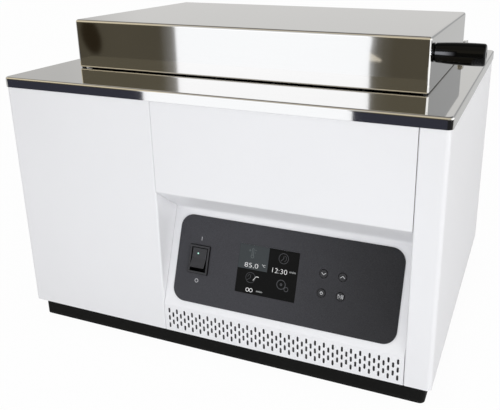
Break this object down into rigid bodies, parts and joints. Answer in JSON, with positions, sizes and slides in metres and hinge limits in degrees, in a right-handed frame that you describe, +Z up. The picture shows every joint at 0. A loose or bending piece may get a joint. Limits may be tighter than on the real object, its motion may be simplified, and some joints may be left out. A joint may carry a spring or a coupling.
{
  "type": "laboratory water bath",
  "caption": "Bench water bath with a white housing, stainless deck and hinged lid, and a sloping dark control panel in a front recess.",
  "frame": {"origin": "on the bench, under the middle of the white housing's footprint", "axes": "+X to the object's right seen from the front, +Y to the back, +Z up"},
  "size_m": [0.5168, 0.4552, 0.3656],
  "materials": {
    "housing_white": "satin powder coat",
    "polished_steel": "polished stainless steel",
    "tank_steel": "drawn stainless steel",
    "plinth_black": "matte black",
    "fascia_dark": "fine textured dark grey",
    "display_glass": "glossy black pane",
    "key_black": "satin black",
    "switch_black": "satin black",
    "lens_green": "lit green lens",
    "handle_black": "glossy black",
    "buffer_rubber": "matte",
    "bright_steel": "bright stainless steel",
    "valve_chrome": "nickel plated",
    "brass_parts": "turned",
    "wool": "mineral wool",
    "circuit_green": "solder resist",
    "component_black": "moulded",
    "bare_aluminium": "extruded"
  },
  "bodies": {
    "housing": {"board_posts": "brass_parts", "bracket_screws": "bright_steel", "capacitors": "component_black", "controller_board": "circuit_green", "controller_chips": "component_black", "cutout_sensor": "bright_steel", "deck": "polished_steel", "display_module": "bare_aluminium", "display_window": "display_glass", "drain_collar": "bright_steel", "drain_pipe": "bright_steel", "fascia": "fascia_dark", "front_insert": "housing_white", "heat_sink": "bare_aluminium", "heater_front": "bright_steel", "heater_rear": "bright_steel", "heater_terminals": "brass_parts", "hinge_bracket_left": "bright_steel", "hinge_bracket_right": "bright_steel", "hinge_pins": "bright_steel", "inlet_pins": "brass_parts", "insulation": "wool", "key_switches": "component_black", "keypad_board": "circuit_green", "left_panel": "housing_white", "mains_inlet": "component_black", "plinth": "plinth_black", "power_board": "circuit_green", "rear_panel": "housing_white", "rear_screws": "bright_steel", "right_panel": "housing_white", "solid_state_relay": "component_black", "switch_body": "switch_black", "switch_terminals": "brass_parts", "tank": "tank_steel", "tank_glands": "brass_parts", "temperature_probe": "bright_steel", "transformer": "component_black", "valve_body": "valve_chrome", "valve_locknut": "brass_parts"},
    "lid": {"lid_shell": "polished_steel", "lid_buffers": "buffer_rubber", "handle_grip": "handle_black", "handle_collar": "handle_black", "handle_screw": "bright_steel", "hinge_arm_left": "bright_steel", "hinge_arm_right": "bright_steel", "hinge_rivets": "bright_steel"},
    "rocker": {"rocker": "switch_black", "rocker_lens": "lens_green"},
    "key_down": {"key_down": "key_black"},
    "key_up": {"key_up": "key_black"},
    "key_select": {"key_select": "key_black"},
    "key_start": {"key_start": "key_black"},
    "drain_lever": {"valve_lever": "handle_black", "lever_nut": "bright_steel", "valve_ball": "valve_chrome"},
    "shelf": {"shelf_plate": "tank_steel", "shelf_leg_left": "tank_steel", "shelf_leg_right": "tank_steel"}
  },
  "joints": [
    {"name": "lid_hinge", "type": "hinge", "parent": "housing", "child": "lid", "pos_m": [0, 0.1633, 0.3175], "axis": [-1, 0, 0], "range_deg": [0, 95]},
    {"name": "rocker_pivot", "type": "hinge", "parent": "housing", "child": "rocker", "pos_m": [-0.0207, -0.17209, 0.10844], "axis": [1, 0, 0], "range_deg": [0, 20]},
    {"name": "key_down_press", "type": "slide", "parent": "housing", "child": "key_down", "axis": [0, 0.9364, -0.351], "range_m": [0, 0.0006], "stiffness_N_per_m": 200},
    {"name": "key_up_press", "type": "slide", "parent": "housing", "child": "key_up", "axis": [0, 0.9364, -0.351], "range_m": [0, 0.0006], "stiffness_N_per_m": 200},
    {"name": "key_select_press", "type": "slide", "parent": "housing", "child": "key_select", "axis": [0, 0.9364, -0.351], "range_m": [0, 0.0006], "stiffness_N_per_m": 200},
    {"name": "key_start_press", "type": "slide", "parent": "housing", "child": "key_start", "axis": [0, 0.9364, -0.351], "range_m": [0, 0.0006], "stiffness_N_per_m": 200},
    {"name": "drain_lever_turn", "type": "hinge", "parent": "housing", "child": "drain_lever", "pos_m": [-0.1147, 0.2165, 0.062], "axis": [0, 0, -1], "range_deg": [0, 90]},
    {"name": "shelf_lift", "type": "slide", "parent": "housing", "child": "shelf", "axis": [0, 0, 1], "range_m": [0, 0.17]}
  ]
}
